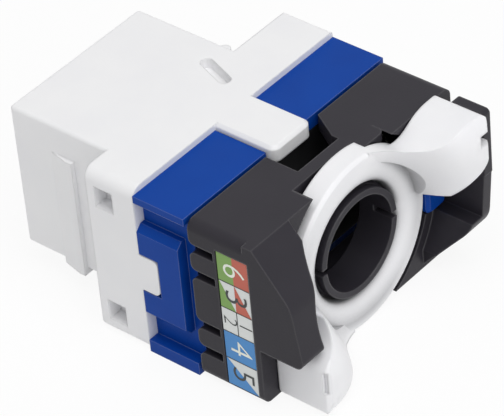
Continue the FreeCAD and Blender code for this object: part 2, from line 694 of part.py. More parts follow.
def lug_room():
    """Arc in the rear plate that the lug and its skirt turn in."""
    a0 = HOOK_ANGLE - LUG_TAIL - ANGLE_GAP
    a1 = HOOK_ANGLE + LUG_LEAD + TURN + ANGLE_GAP
    return sector(RING_R - SKIRT_T - POST_GAP, LUG_OUT + FIT, PLATE_Y - PAST, FRAME_Y + FIT, a0, a1)


def toothed_tray():
    """Guide body with its wire slots and rounded teeth."""
    half = BODY_W / 2
    body = box(-half, half, GUIDE_Y, TOWER_Y, GUIDE_LOW, GUIDE_TOP)
    body = rounded(body, CORNER_R, lambda e: runs_along(e, "Y"))
    tray = box(-half + TOOTH_DEPTH, half - TOOTH_DEPTH, GUIDE_Y - PAST, PLATE_Y,
               GUIDE_LOW + TRAY_WALL, GUIDE_TOP - TRAY_WALL)
    body = body.cut([tray] + wire_slots())
    wall = GUIDE_TOP - TRAY_WALL - AXIS_Z - SLOT_OUTER - SLOT_H / 2
    radius = min(TOOTH_R, TOOTH_R_MOST * wall)
    return rounded(body, radius, lambda e: near(middle(e).y, GUIDE_Y) and runs_along(e, "X")
                   and abs(middle(e).x) > half - TOOTH_DEPTH
                   and abs(middle(e).z - AXIS_Z) < SLOT_OUTER + SLOT_H)


def wire_guide():
    """Dark moulding: toothed tray, rear plate, frame, towers and cable tube."""
    half = BODY_W / 2
    tab_half = TAB_W / 2 + 2 * FIT
    tab_room = box(-tab_half, tab_half, GUIDE_Y - PAST, BLOCK_Y + TAB_L + 2 * FIT, -PAST, TAB_T + 2 * FIT)
    recess = rod(FRAME_R, FRAME_Y, TOWER_Y + PAST)
    body = toothed_tray().cut([top_window(), tab_room, recess] + blade_rooms())
    far_tower = half_turned(tall_tower(TOWER_LEAN / 2))
    far_tower = far_tower.cut([box(-half - PAST, GUARD_X, TOWER_Y, WING_END, -PAST, BODY_H), head_view()])
    body = body.fuse([cable_tube(), tall_tower(TOWER_LEAN), far_tower, guard_wall(), click_finger()])
    ways = [post_room(), half_turned(post_room()), lug_room(), half_turned(lug_room())]
    body = body.cut(ways + [rod(TUBE_IN, GUIDE_Y - PAST, TUBE_END + PAST)])
    return body.cut(label_recesses()).removeSplitter()


def label_recesses():
    """Shallow seats for the two labels."""
    y0 = GUIDE_Y + LABEL_Y
    return pair(box(BODY_W / 2 - LABEL_IN, BODY_W / 2 + PAST, y0, y0 + LABEL_L, LABEL_Z, LABEL_Z + LABEL_H))


def labels():
    """Printed wiring labels in their seats."""
    x0 = BODY_W / 2 - LABEL_IN
    return pair(box(x0, x0 + LABEL_T, GUIDE_Y + LABEL_Y + FIT, GUIDE_Y + LABEL_Y + LABEL_L - FIT,
                    LABEL_Z + FIT, LABEL_Z + LABEL_H - FIT))


# ---- lock ring ----
def scoop():
    """Space over the wing's sloping back: gentle above, steep below, rounded off at the long edge."""
    def section(share, fall):
        v = -PAST + share * (WING_V + 2 * PAST)
        u0, u1, u2 = (low + (top - low) * share for low, top in zip(SCOOP_LOW, SCOOP_TOP))
        mid_share = SCOOP_LOW_MID + (SCOOP_TOP_MID - SCOOP_LOW_MID) * share
        end = WING_END - fall
        mid_y = RING_END + (end - RING_END) * mid_share

        def at(u, y):
            return Vector(-u, y, AXIS_Z + v)

        steep = SCOOP_ROOT[0] + (SCOOP_ROOT[1] - SCOOP_ROOT[0]) * min(share * 2, 1)
        slope = Part.BSplineCurve()
        slope.interpolate(Points=[at(u0, RING_END), at(u1, mid_y), at(u2, end - SCOOP_LIP)],
                          InitialTangent=Vector(-1, steep, 0), FinalTangent=Vector(-1, 0, 0))
        corners = [at(u2, end - SCOOP_LIP), at(WING_U + PAST, end + FIT / 2),
                   at(WING_U + PAST, WING_END + 2 * PAST), at(-PAST, WING_END + 2 * PAST),
                   at(-PAST, RING_END), at(u0, RING_END)]
        return Part.Wire([slope.toShape()] + [Part.makeLine(p, q) for p, q in zip(corners, corners[1:])])

    return Part.makeLoft([section(share, fall) for share, fall in SCOOP_FALLS], True, False)


def wing_point(u, v):
    """Point of the upper wing's outline, from the axis outward and upward."""
    return Vector(-u, WING_Y, AXIS_Z + v)


def rim_point(u):
    """Point of the ring's circle above the axis."""
    return wing_point(u, math.sqrt(RING_R ** 2 - u ** 2))


def wing_edges():
    """Curved edges of the wing: along the ring, over the hollow to the long edge, and the lower edge."""
    rim = Part.Arc(rim_point(WING_START), rim_point((WING_START + WING_LEAVE) / 2), rim_point(WING_LEAVE))
    leave = rim_point(WING_LEAVE)
    tangent = Vector(-(leave.z - AXIS_Z), 0, leave.x)
    hollow = Part.BSplineCurve()
    dip_u, dip_v = WING_DIP
    points = [leave, wing_point(dip_u, RING_R - dip_v), wing_point(WING_RISE, WING_V)]
    hollow.interpolate(Points=points, InitialTangent=tangent, FinalTangent=Vector(-1, 0, 0))
    bow = wing_point((WING_U + WING_LOW_U) / 2 - WING_BOW / 2, (WING_TIP + WING_LOW) / 2 + WING_BOW / 2)
    lower = Part.Arc(wing_point(WING_U, WING_TIP), bow, wing_point(WING_LOW_U, WING_LOW))
    return [rim.toShape(), hollow.toShape(), lower.toShape()]


def wing_notch():
    """Open notch in the upper wing's outer end."""
    deep = WING_U - WING_NOTCH
    high = WING_NOTCH_V + WING_NOTCH_H / 2
    low = WING_NOTCH_V - WING_NOTCH_H / 2
    corners = [wing_point(WING_U + PAST, high), wing_point(deep, high - WING_NOTCH_DRAFT),
               wing_point(deep, low + WING_NOTCH_DRAFT), wing_point(WING_U + PAST, low)]
    return extrude(corners, Vector(0, WING_L + PAST, 0))


def wing_groove():
    """Shallow groove in the lower wing's outer end."""
    y1 = WING_END - GROOVE_IN
    z1 = AXIS_Z + GROOVE_V
    return box(-WING_U - PAST, -WING_U + GROOVE_D, y1 - GROOVE_W, y1, z1 - GROOVE_L, z1)


def wing(cut_out):
    """One wing of the ring, in its upper place, dished for the thumb."""
    rim, hollow, lower = wing_edges()
    end = [wing_point(WING_RISE, WING_V), wing_point(WING_U, WING_V), wing_point(WING_U, WING_TIP)]
    inner = [wing_point(WING_LOW_U, WING_LOW), wing_point(RING_STEP_R, WING_LOW),
             wing_point(WING_START, RING_STEP_R), rim_point(WING_START)]
    lines = [Part.makeLine(p, q) for chain in (end, inner) for p, q in zip(chain, chain[1:])]
    edges = Part.sortEdges([rim, hollow, lower] + lines)[0]
    body = Part.Face(Part.Wire(edges)).extrude(Vector(0, WING_L, 0))
    for v, radius in ((WING_V, WING_ROUND), (WING_TIP, WING_TIP_R)):
        body = rounded(body, radius, lambda e: runs_along(e, "Y") and near(middle(e).x, -WING_U)
                       and near(middle(e).z, AXIS_Z + v))
    body = bevelled(body, WING_END_R, lambda e: near(middle(e).y, WING_END) and near(middle(e).x, -WING_U))
    return body.cut([scoop(), cut_out])


def helical_lug():
    """Sloping lug on a short skirt, which climbs under the post's hook."""
    a1 = HOOK_ANGLE + LUG_LEAD
    a0 = HOOK_ANGLE - LUG_TAIL
    mid = (a0 + a1) / 2
    y_mid = RING_Y + LUG_T - LUG_SLOPE * math.radians(HOOK_ANGLE - mid)
    tilt = math.degrees(math.atan(LUG_SLOPE / ((RING_R + LUG_OUT) / 2)))

    def sloped(y1):
        slab = box(-LUG_OUT - PAST, -RING_R + 2 * SKIRT_T, y_mid - LUG_T, y1,
                   AXIS_Z - RING_R, AXIS_Z + RING_R)
        slab.rotate(Vector(0, y_mid, AXIS_Z), Vector(1, 0, 0), -tilt)
        return turned(slab, mid)

    lug = sector(RING_R - SKIRT_T, LUG_OUT, GUIDE_Y, RING_END, a0, a1).common(sloped(y_mid))
    skirt_y = y_mid - LUG_SLOPE * math.radians((a1 - a0) / 2) - LUG_T
    skirt = sector(RING_R - SKIRT_T, RING_R, skirt_y, RING_Y + POST_GAP, a0, a1).common(sloped(WING_END))
    return lug.fuse(skirt)


def ring_bore():
    """Stepped bore with a flared mouth, turned from one outline."""
    far = WING_END + PAST
    start = Vector(RING_STEP_R, RING_END - MOUTH_L, AXIS_Z)
    rim = Vector(MOUTH_R, RING_END, AXIS_Z)
    bend = Vector(RING_STEP_R + (MOUTH_R - RING_STEP_R) * MOUTH_BEND,
                  RING_END - MOUTH_L * MOUTH_BEND, AXIS_Z)
    curve = Part.BSplineCurve()
    curve.interpolate(Points=[start, bend, rim], InitialTangent=ALONG, FinalTangent=Vector(1, 0, 0))
    profile = [rim, Vector(MOUTH_R, far, AXIS_Z), Vector(0, far, AXIS_Z), Vector(0, PLATE_Y, AXIS_Z),
               Vector(RING_BORE_R, PLATE_Y, AXIS_Z), Vector(RING_BORE_R, SHOULDER_Y, AXIS_Z),
               Vector(RING_STEP_R, SHOULDER_Y, AXIS_Z), start]
    outline = Part.Wire([curve.toShape()] + [Part.makeLine(p, q) for p, q in zip(profile, profile[1:])])
    return Part.Face(outline).revolve(AXIS, ALONG, 360)


def rim_relief():
    """Clearance in the rim for the click finger over the ring's whole turn."""
    height = GUIDE_TOP - LOBE_T - AXIS_Z
    a_high = math.degrees(math.atan2(height, WINDOW_RIGHT)) + 2 * ANGLE_GAP
    a_low = math.degrees(math.atan2(height, WINDOW_RIGHT + LOBE_W)) - TURN - 2 * ANGLE_GAP
    y1 = FRAME_Y + LOBE_L + POST_GAP
    return sector(height - POST_GAP, RING_R + PAST, RING_Y - PAST, y1, a_low, a_high)


def lock_ring():
    """White ring with two wings and two lugs."""
    disc = rod(RING_R, RING_Y, RING_END)
    disc = bevelled(disc, RIM_R, lambda e: near(middle(e).y, RING_END))
    lug = helical_lug()
    body = disc.fuse([wing(wing_notch()), half_turned(wing(wing_groove())), lug, half_turned(lug)])
    return body.cut([rim_relief(), half_turned(rim_relief()), ring_bore()]).removeSplitter()


# ---- write every node ----
def main():
    """Build all nodes and export them."""
    os.makedirs("parts", exist_ok=True)
    save("front_housing", front_housing())
    save("contact_carrier", contact_carrier())
    save("circuit_board", circuit_board())
    for i, z in enumerate(contact_heights(), 1):
        save("spring_contact_%d" % i, spring_contact(z))
    save("idc_block", idc_block())
    save("pair_separator", pair_separator())
    for i, (side, z) in enumerate(blade_places(), 1):
        save("idc_contact_%d" % i, idc_contact(side, z))
    save("wire_guide", wire_guide())
    for name, piece in zip(("label_left", "label_right"), labels()):
        save(name, piece)
    save("lock_ring", lock_ring())


main()
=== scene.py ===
"""Looks of a tool-less keystone jack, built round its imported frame.

The solids carry every shape.  This script gives each piece the finish of the real one, prints
the two wiring labels, and sets the floor, the lamps and the camera.  Lengths are metres in the
frame's own axes: +Y runs from the plug face to the cable entry and +Z is up.
"""

import logging
import math
from dataclasses import dataclass, field
from enum import Enum, IntEnum
from typing import Dict, List, Mapping, Optional, Sequence, Tuple, Union

import bpy
from mathutils import Matrix, Vector


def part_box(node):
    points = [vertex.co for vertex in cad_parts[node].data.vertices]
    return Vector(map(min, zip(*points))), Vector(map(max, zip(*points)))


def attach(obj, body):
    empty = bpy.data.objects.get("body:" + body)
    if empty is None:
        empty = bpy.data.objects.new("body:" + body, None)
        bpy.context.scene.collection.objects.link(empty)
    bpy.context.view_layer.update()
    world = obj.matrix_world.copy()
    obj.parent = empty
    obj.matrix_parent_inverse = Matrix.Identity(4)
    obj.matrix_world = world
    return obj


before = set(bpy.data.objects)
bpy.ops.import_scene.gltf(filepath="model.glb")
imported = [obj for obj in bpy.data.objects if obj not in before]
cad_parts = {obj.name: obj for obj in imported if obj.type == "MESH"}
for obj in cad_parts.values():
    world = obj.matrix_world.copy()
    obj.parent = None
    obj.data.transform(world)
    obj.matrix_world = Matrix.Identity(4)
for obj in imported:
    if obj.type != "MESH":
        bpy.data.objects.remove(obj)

LOG = logging.getLogger("keystone_jack")
Colour = Tuple[float, float, float, float]
SocketKey = Union[str, int]
# The colour Mix node's sockets share their names with its other kinds, so they go by number.
MIX_SHARE, MIX_FIRST, MIX_SECOND, MIX_RESULT = 0, 6, 7, 2
WHITE_LIGHT: Colour = (1.0, 1.0, 1.0, 1.0)


def mm(length: float) -> float:
    """Millimetres as metres."""
    return length / 1000.0


def tone(code: str) -> Colour:
    """Turn an sRGB hex code into a linear colour.

    Args:
        code: Six hex digits after a hash sign.

    Returns:
        Red, green, blue and alpha, linear.
    """
    def straight(share: float) -> float:
        """One channel, linear."""
        return share / 12.92 if share <= 0.04045 else ((share + 0.055) / 1.055) ** 2.4

    red, green, blue = (straight(int(code[i:i + 2], 16) / 255.0) for i in (1, 3, 5))
    return (red, green, blue, 1.0)


def add_node(tree: bpy.types.NodeTree, kind: str,
             values: Optional[Mapping[SocketKey, object]] = None,
             links: Optional[Mapping[SocketKey, bpy.types.NodeSocket]] = None,
             **settings: object) -> bpy.types.Node:
    """Add one shader node.

    Args:
        tree: Node tree that gets the node.
        kind: Node type name.
        values: Constants by input name or number.
        links: Sockets of other nodes by input name or number.
        **settings: Properties of the node itself.

    Returns:
        The new node.
    """
    node = tree.nodes.new(kind)
    for name, value in settings.items():
        setattr(node, name, value)
    for key, value in (values or {}).items():
        node.inputs[key].default_value = value
    for key, socket in (links or {}).items():
        tree.links.new(socket, node.inputs[key])
    return node


# How often a point is tested for the painted shade and for a softened edge.
PAINTED_SHADE_SAMPLES, EDGE_SAMPLES = 8, 6
# Width of the faint patches in each colour, and the part of their noise that shows.
PATCH_WIDTH = mm(4.0)
PATCH_RANGE = (0.3, 0.75)
# A brushed relief is this many times longer than it is wide.
BRUSH_STRETCH = 12.0
# Height of the relief as a share of its width, and the roughness' spread to either side.
GRAIN_HEIGHT = 0.25
ROUGH_SPREAD = 0.15
# How well a softened normal keeps to the face: still flat, and on the edge.
FLAT_LEAN, EDGE_LEAN = 0.995, 0.9
# How deep light scatters in the plastics.
GLOW_DEPTH = mm(0.6)


class Relief(Enum):
    """How a surface's fine relief runs."""

    GRAIN = "grain"
    BRUSHED = "brushed"


@dataclass(frozen=True)
class PaintedShade:
    """Painted shade: grey painted into the colour of a hollow round an axis along Y, deepest where
    the hollow shuts a point in from the light.

    Attributes:
        dark: How much of the painted shade shows where the hollow is deepest.
        reach: How far from a corner the painted shade still shows.
        height: Height of the axis.
        radius: Where the painted shade ends, from the axis.
        fade: Where it starts to thin out, as a share of the radius.
        shut: Openness of a point that has all of the painted shade.
        clear: Openness of a point that has none.
        tint: Colour of the painted shade, sRGB hex.
    """

    dark: float
    reach: float
    height: float
    radius: float
    fade: float = 0.9
    shut: float = 0.35
    clear: float = 0.97
    tint: str = "#3C3C40"

    def over(self, tree: bpy.types.NodeTree, clean: bpy.types.NodeSocket,
             place: bpy.types.NodeSocket) -> bpy.types.NodeSocket:
        """Colour with the painted shade on it.

        Args:
            tree: Material's node tree.
            clean: Colour without the painted shade.
            place: Place of the point.

        Returns:
            The colour's socket.
        """
        # Painted shade: the colour is mixed towards grey near the axis, where ambient occlusion
        # finds the point shut in.
        level = add_node(tree, "ShaderNodeVectorMath", {1: (1.0, 0.0, 1.0)}, {0: place},
                         operation="MULTIPLY").outputs["Vector"]
        away = add_node(tree, "ShaderNodeVectorMath", {1: (0.0, 0.0, self.height)}, {0: level},
                        operation="DISTANCE").outputs["Value"]
        inside = add_node(tree, "ShaderNodeMapRange",
                          {"From Min": self.radius * self.fade, "From Max": self.radius,
                           "To Min": self.dark, "To Max": 0.0}, {"Value": away}).outputs["Result"]
        free = add_node(tree, "ShaderNodeAmbientOcclusion", {"Distance": self.reach},
                        samples=PAINTED_SHADE_SAMPLES).outputs["AO"]
        deep = add_node(tree, "ShaderNodeMapRange",
                        {"From Min": self.shut, "From Max": self.clear,
                         "To Min": 1.0, "To Max": 0.0},
                        {"Value": free}).outputs["Result"]
        share = add_node(tree, "ShaderNodeMath", links={0: inside, 1: deep},
                         operation="MULTIPLY").outputs[0]
        return add_node(tree, "ShaderNodeMix", {MIX_SECOND: tone(self.tint)},
                        {MIX_SHARE: share, MIX_FIRST: clean}, data_type="RGBA").outputs[MIX_RESULT]


@dataclass(frozen=True)
class Finish:
    """One surface finish, with its relief and its patches drawn by noise.

    Attributes:
        name: Material name, after the real material and how it was made.
        colour: Main colour, sRGB hex.
        shade: Second colour, in faint broad patches, sRGB hex.
        roughness: Mean roughness.
        ior: Index of refraction.
        metallic: 1 for a metal.
        grain: Width of the relief.
        depth: Strength of the relief, from 0 to 1.
        relief: Even grain, or drawn out along Y.
        edge: Radius of the softened edges.
        glow: Share of light that scatters under the surface.
        shine: Strength of the surface's reflection, 0.5 for a clean plastic.
        polish: Strength of the reflection on moulded edges, where they are rubbed bright.
        film: Painted shade in a round hollow, or None.
    """

    name: str
    colour: str
    shade: str
    roughness: float = 0.4
    ior: float = 1.5
    metallic: float = 0.0
    grain: float = mm(0.12)
    depth: float = 0.12
    relief: Relief = Relief.GRAIN
    edge: float = mm(0.12)
    glow: float = 0.0
    shine: float = 0.5
    polish: float = 0.5
    # Painted shade for a round hollow, or None.
    film: Optional[PaintedShade] = None

    def reflection(self, tree: bpy.types.NodeTree,
                   soft: bpy.types.NodeSocket) -> bpy.types.NodeSocket:
        """Reflection's strength at a point, found from how far the softened edge leans.

        Args:
            tree: Material's node tree.
            soft: Normal with softened edges.

        Returns:
            The shine on flat faces, up to the polish on edges.
        """
        flat = add_node(tree, "ShaderNodeNewGeometry").outputs["Normal"]
        lean = add_node(tree, "ShaderNodeVectorMath", links={0: flat, 1: soft},
                        operation="DOT_PRODUCT").outputs["Value"]
        return add_node(tree, "ShaderNodeMapRange",
                        {"From Min": FLAT_LEAN, "From Max": EDGE_LEAN,
                         "To Min": self.shine, "To Max": self.polish},
                        {"Value": lean}).outputs["Result"]

    def mottled(self, tree: bpy.types.NodeTree,
                place: bpy.types.NodeSocket) -> bpy.types.NodeSocket:
        """Main colour with faint patches of the second one, and the painted shade where there is
        one.

        Args:
            tree: Material's node tree.
            place: Place of the point.

        Returns:
            The colour's socket.
        """
        broad = add_node(tree, "ShaderNodeTexNoise", {"Scale": 1.0 / PATCH_WIDTH, "Detail": 2.0},
                         {"Vector": place}).outputs["Fac"]
        low, high = PATCH_RANGE
        blend = add_node(tree, "ShaderNodeMapRange", {"From Min": low, "From Max": high},
                         {"Value": broad}).outputs["Result"]
        colour = add_node(tree, "ShaderNodeMix",
                          {MIX_FIRST: tone(self.colour), MIX_SECOND: tone(self.shade)},
                          {MIX_SHARE: blend}, data_type="RGBA").outputs[MIX_RESULT]
        # The painted shade goes over the patches where the finish has one.
        return self.film.over(tree, colour, place) if self.film else colour

    def material(self) -> bpy.types.Material:
        """Build the material, unless it is there already.

        Returns:
            The material.
        """
        known = bpy.data.materials.get(self.name)
        if known:
            return known
        made = bpy.data.materials.new(self.name)
        made.use_nodes = True
        tree = made.node_tree
        tree.nodes.clear()
        place = add_node(tree, "ShaderNodeTexCoord").outputs["Object"]
        stretch = BRUSH_STRETCH if self.relief is Relief.BRUSHED else 1.0
        spread = add_node(tree, "ShaderNodeMapping", {"Scale": (1.0, 1.0 / stretch, 1.0)},
                          {"Vector": place}).outputs["Vector"]
        fine = add_node(tree, "ShaderNodeTexNoise", {"Scale": 1.0 / self.grain, "Detail": 3.0},
                        {"Vector": spread}).outputs["Fac"]
        soft = add_node(tree, "ShaderNodeBevel", {"Radius": self.edge},
                        samples=EDGE_SAMPLES).outputs["Normal"]
        rough = add_node(tree, "ShaderNodeMapRange",
                         {"To Min": self.roughness * (1.0 - ROUGH_SPREAD),
                          "To Max": self.roughness * (1.0 + ROUGH_SPREAD)},
                         {"Value": fine}).outputs["Result"]
        bump = add_node(tree, "ShaderNodeBump",
                        {"Strength": self.depth, "Distance": self.grain * GRAIN_HEIGHT},
                        {"Height": fine, "Normal": soft}).outputs["Normal"]
        links = {"Base Color": self.mottled(tree, place), "Roughness": rough, "Normal": bump}
        if self.polish != self.shine:
            links["Specular IOR Level"] = self.reflection(tree, soft)
        surface = add_node(tree, "ShaderNodeBsdfPrincipled",
                           {"IOR": self.ior, "Metallic": self.metallic,
                            "Specular IOR Level": self.shine, "Subsurface Weight": self.glow,
                            "Subsurface Scale": GLOW_DEPTH,
                            "Subsurface Radius": (1.0, 1.0, 1.0)},
                           links).outputs["BSDF"]
        add_node(tree, "ShaderNodeOutputMaterial", links={"Surface": surface})
        return made


# A spark-eroded mould leaves a grain of 0.02 to 0.05 mm, too fine to show on a part of this size,
# so the plastics' grain is drawn several times coarser.
# Polycarbonate in opaque white: that fine mould face makes its highlights wide and soft.
WHITE_POLYCARBONATE = Finish("moulded_white_polycarbonate", "#F0F0F1", "#EDEDEF", roughness=0.42,
                             ior=1.58, grain=mm(0.18), depth=0.10, edge=mm(0.22), glow=0.12)
# POM in the same white: waxier than the housing.  Painted shade greys its mouth, standing in for
# the shade of the real ring's mouth, which is a deeper funnel.
WHITE_ACETAL = Finish("moulded_white_acetal", "#F1F1F3", "#EDEDF0", roughness=0.36, ior=1.48,
                      grain=mm(0.22), depth=0.06, edge=mm(0.25), glow=0.18,
                      film=PaintedShade(dark=0.85, reach=mm(4.5), height=mm(8.6), radius=mm(8.3)))
# PBT in royal blue: deep and even on its faces, while its edges catch the light.
BLUE_POLYBUTYLENE = Finish("moulded_blue_pbt", "#0B429B", "#0A3E95", roughness=0.40, ior=1.54,
                           grain=mm(0.18), depth=0.10, edge=mm(0.12), shine=0.08, polish=1.0)
# ABS in charcoal: matt with a warm cast, and a dull gleam along its edges.
CHARCOAL_ABS = Finish("moulded_charcoal_abs", "#2F2D33", "#2C2A30", roughness=0.42, ior=1.53,
                      grain=mm(0.20), depth=0.14, edge=mm(0.22), shine=0.16, polish=0.6)
# Glass-filled nylon in black: dull and dark, seen only down the socket and past the ring.
BLACK_NYLON = Finish("moulded_black_nylon", "#141416", "#18181A", roughness=0.5, ior=1.53,
                     grain=mm(0.15), depth=0.15, edge=mm(0.08), shine=0.2, polish=0.2)
# Glass and epoxy laminate under a green lacquer, which fills the weave and leaves it smooth.
LACQUERED_LAMINATE = Finish("lacquered_glass_epoxy", "#1B5A35", "#17502F", roughness=0.3, ior=1.52,
                            grain=mm(0.25), depth=0.08, edge=mm(0.04))
# Phosphor bronze wire, drawn and thinly gold plated: warm, with sharp highlights along the wire.
GOLD_PLATED_WIRE = Finish("gold_plated_bronze_wire", "#E3B45C", "#D7A74F", roughness=0.22,
                          metallic=1.0, grain=mm(0.05), depth=0.06, relief=Relief.BRUSHED,
                          edge=mm(0.04))
# Bronze sheet, tinned and stamped: dull grey with streaks along the strip.
TINNED_SHEET = Finish("tinned_bronze_sheet", "#C9C7C2", "#BBB9B4", roughness=0.34, metallic=1.0,
                      grain=mm(0.06), depth=0.08, relief=Relief.BRUSHED, edge=mm(0.04))


def ink(name: str, colour: str, shade: str) -> Finish:
    """Ink printed under the label's clear film: smooth, with the film's low gloss.

    Args:
        name: The ink's colour, for the material's name.
        colour: Main colour, sRGB hex.
        shade: Second colour, sRGB hex.

    Returns:
        The finish.
    """
    return Finish("printed_film_" + name, colour, shade, roughness=0.3, ior=1.5, grain=mm(0.1),
                  depth=0.03, edge=mm(0.01))


class Ink(Enum):
    """Inks of the wiring labels."""

    PAPER = ink("paper", "#E4E7E4", "#DDE0DE")
    GREEN = ink("green", "#7CA64C", "#76A047")
    ORANGE = ink("orange", "#C55C46", "#BF563F")
    BLUE = ink("blue", "#3A8BCF", "#3585C8")
    BROWN = ink("brown", "#8A5A3A", "#825335")
    LIGHT = ink("light", "#F0F4E8", "#EAEEE2")
    DARK = ink("dark", "#1D2424", "#232A2A")


class Layer(IntEnum):
    """Layers of print, counted up from the label's film; LINE takes the numbers too."""

    PAPER = 1
    FIELD = 2
    LINE = 3


class Draft:
    """Points and faces gathered for one mesh, each face with its ink."""

    def __init__(self) -> None:
        """Start with nothing drawn."""
        self.points: List[Vector] = []
        self.faces: List[Tuple[int, ...]] = []
        self.inks: List[Ink] = []

    def add(self, points: Sequence[Vector], faces: Sequence[Sequence[int]], colour: Ink) -> None:
        """Add faces in one ink.

        Args:
            points: Corners of the faces.
            faces: Corner numbers of each face.
            colour: Ink of the faces.
        """
        start = len(self.points)
        self.points.extend(points)
        self.faces.extend(tuple(start + i for i in face) for face in faces)
        self.inks.extend([colour] * len(faces))

    def build(self, name: str) -> bpy.types.Object:
        """Make the mesh object and give it its inks.

        Args:
            name: Piece name.

        Returns:
            The new object.
        """
        mesh = bpy.data.meshes.new(name)
        mesh.from_pydata(self.points, [], self.faces)
        used = sorted(set(self.inks), key=lambda one: one.name)
        for one in used:
            mesh.materials.append(one.value.material())
        for face, one in zip(mesh.polygons, self.inks):
            face.material_index = used.index(one)
        piece = bpy.data.objects.new(name, mesh)
        bpy.context.scene.collection.objects.link(piece)
        return piece


@dataclass(frozen=True)
class Cell:
    """One row of a wiring label.

    Attributes:
        share: Part of the label's height.
        fields: Inks of the row's fields, from the block's end to the cable end.
        striped: True where only the lower triangle of each field is inked.
        marks: Numbers in the row, one across or one in each field.
        writing: Ink of the numbers.
    """

    share: float
    fields: Tuple[Ink, ...]
    striped: bool
    marks: str
    writing: Ink


@dataclass
class WiringLabel:
    """Printed wiring label on one side of the guide.

    Attributes:
        node: CAD node of the film.
        facing: +1 on the +X side, -1 on the other.
        cells: Rows in order, down the +X side and up the other.
        lift: Step from the film to the ink, and from ink to ink.
        rule: Width of the dividing lines.
        mark_size: Height of a number that has the row to itself.
        pair_size: Height of numbers side by side, as a share of mark_size.
        thinning: How far a number's strokes shrink at each edge.
        curve_steps: Steps in each curve of a number.
    """

    node: str
    facing: int
    cells: Tuple[Cell, ...]
    lift: float = mm(0.012)
    rule: float = mm(0.09)
    mark_size: float = mm(3.3)
    pair_size: float = 0.62
    thinning: float = mm(0.035)
    curve_steps: int = 4

    def place(self, across: float, down: float, layer: Layer) -> Vector:
        """Point on the label.

        Args:
            across: 0 at the end that faces the block, 1 at the cable end.
            down: 0 at the first row, 1 at the end of the last.
            layer: Layer of the point.

        Returns:
            The point in the frame.
        """
        low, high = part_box(self.node)
        x = high[0] if self.facing > 0 else low[0]
        drop = down if self.facing > 0 else 1.0 - down
        return Vector((x + self.facing * self.lift * layer, low[1] + across * (high[1] - low[1]),
                       high[2] - drop * (high[2] - low[2])))

    def patch(self, draft: Draft, corners: Sequence[Tuple[float, float]], layer: Layer,
              colour: Ink) -> None:
        """Ink one flat patch.

        Args:
            draft: Drawing that takes the patch.
            corners: Across and down of each corner.
            layer: Layer of the patch.
            colour: Ink.
        """
        points = [self.place(across, down, layer) for across, down in corners]
        draft.add(points, [range(len(points))], colour)

    def number(self, draft: Draft, mark: str, centre: Tuple[float, float], size: float,
               colour: Ink) -> None:
        """Ink one number, its head towards the cable end.

        Args:
            draft: Drawing that takes the number.
            mark: The digit.
            centre: Across and down of its middle.
            size: Height of the type.
            colour: Ink.
        """
        curve = bpy.data.curves.new("mark", "FONT")
        curve.body = mark
        curve.size = size
        curve.offset = -self.thinning
        curve.align_x = "CENTER"
        curve.align_y = "CENTER"
        curve.resolution_u = self.curve_steps
        writer = bpy.data.objects.new("mark", curve)
        bpy.context.scene.collection.objects.link(writer)
        bpy.context.view_layer.update()
        mesh = bpy.data.meshes.new_from_object(writer.evaluated_get(
            bpy.context.evaluated_depsgraph_get()))
        middle = self.place(*centre, Layer.LINE)
        along = Vector((0.0, 0.0, -self.facing))
        points = [middle + along * v.co.x + Vector((0.0, v.co.y, 0.0)) for v in mesh.vertices]
        draft.add(points, [tuple(p.vertices) for p in mesh.polygons], colour)
        bpy.data.objects.remove(writer)
        bpy.data.curves.remove(curve)
        bpy.data.meshes.remove(mesh)

    def row(self, draft: Draft, cell: Cell, top: float) -> float:
        """Ink one row.

        Args:
            draft: Drawing that takes the row.
            cell: The row.
            top: Where the row starts.

        Returns:
            Where the next row starts.
        """
        foot = top + cell.share
        low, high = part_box(self.node)
        half_rule = self.rule / (high[2] - low[2]) / 2
        for side, colour in enumerate(cell.fields):
            left, right = side / len(cell.fields), (side + 1) / len(cell.fields)
            corners = [(left, top), (left, foot), (right, foot)]
            if not cell.striped:
                corners.append((right, top))
            self.patch(draft, corners, Layer.FIELD, colour)
        if top > 0:
            self.patch(draft, [(0, top - half_rule), (0, top + half_rule), (1, top + half_rule),
                               (1, top - half_rule)], Layer.LINE, Ink.DARK)
        size = self.mark_size if len(cell.marks) == 1 else self.mark_size * self.pair_size
        for i, mark in enumerate(cell.marks):
            centre = ((i + 0.5) / len(cell.marks), (top + foot) / 2)
            self.number(draft, mark, centre, size, cell.writing)
        if len(cell.marks) > 1:
            half_line = self.rule / (high[1] - low[1]) / 2
            left, right = 0.5 - half_line, 0.5 + half_line
            self.patch(draft, [(left, top), (left, foot), (right, foot), (right, top)],
                       Layer.LINE, Ink.DARK)
        return foot

    def build(self) -> bpy.types.Object:
        """Print the whole label.

        Returns:
            The printed piece.
        """
        draft = Draft()
        self.patch(draft, [(0, 0), (0, 1), (1, 1), (1, 0)], Layer.PAPER, Ink.PAPER)
        top = 0.0
        for cell in self.cells:
            top = self.row(draft, cell, top)
        piece = draft.build(self.node + "_print")
        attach(piece, "guide")
        return piece


def wiring_rows(pair: Tuple[Ink, Ink], single: Ink, marks: Sequence[str]) -> Tuple[Cell, ...]:
    """Five rows of a label: two in the paired inks, a plain one, and two in the single ink.

    Args:
        pair: Inks of the first two rows.
        single: Ink of the last two rows.
        marks: Numbers of each row.

    Returns:
        The rows in order.
    """
    return (
        Cell(share=0.207, fields=pair, striped=False, marks=marks[0], writing=Ink.LIGHT),
        Cell(share=0.202, fields=pair, striped=True, marks=marks[1], writing=Ink.DARK),
        Cell(share=0.179, fields=(Ink.PAPER,), striped=False, marks=marks[2], writing=Ink.DARK),
        Cell(share=0.209, fields=(single,), striped=False, marks=marks[3], writing=Ink.LIGHT),
        Cell(share=0.203, fields=(single,), striped=True, marks=marks[4], writing=Ink.DARK),
    )


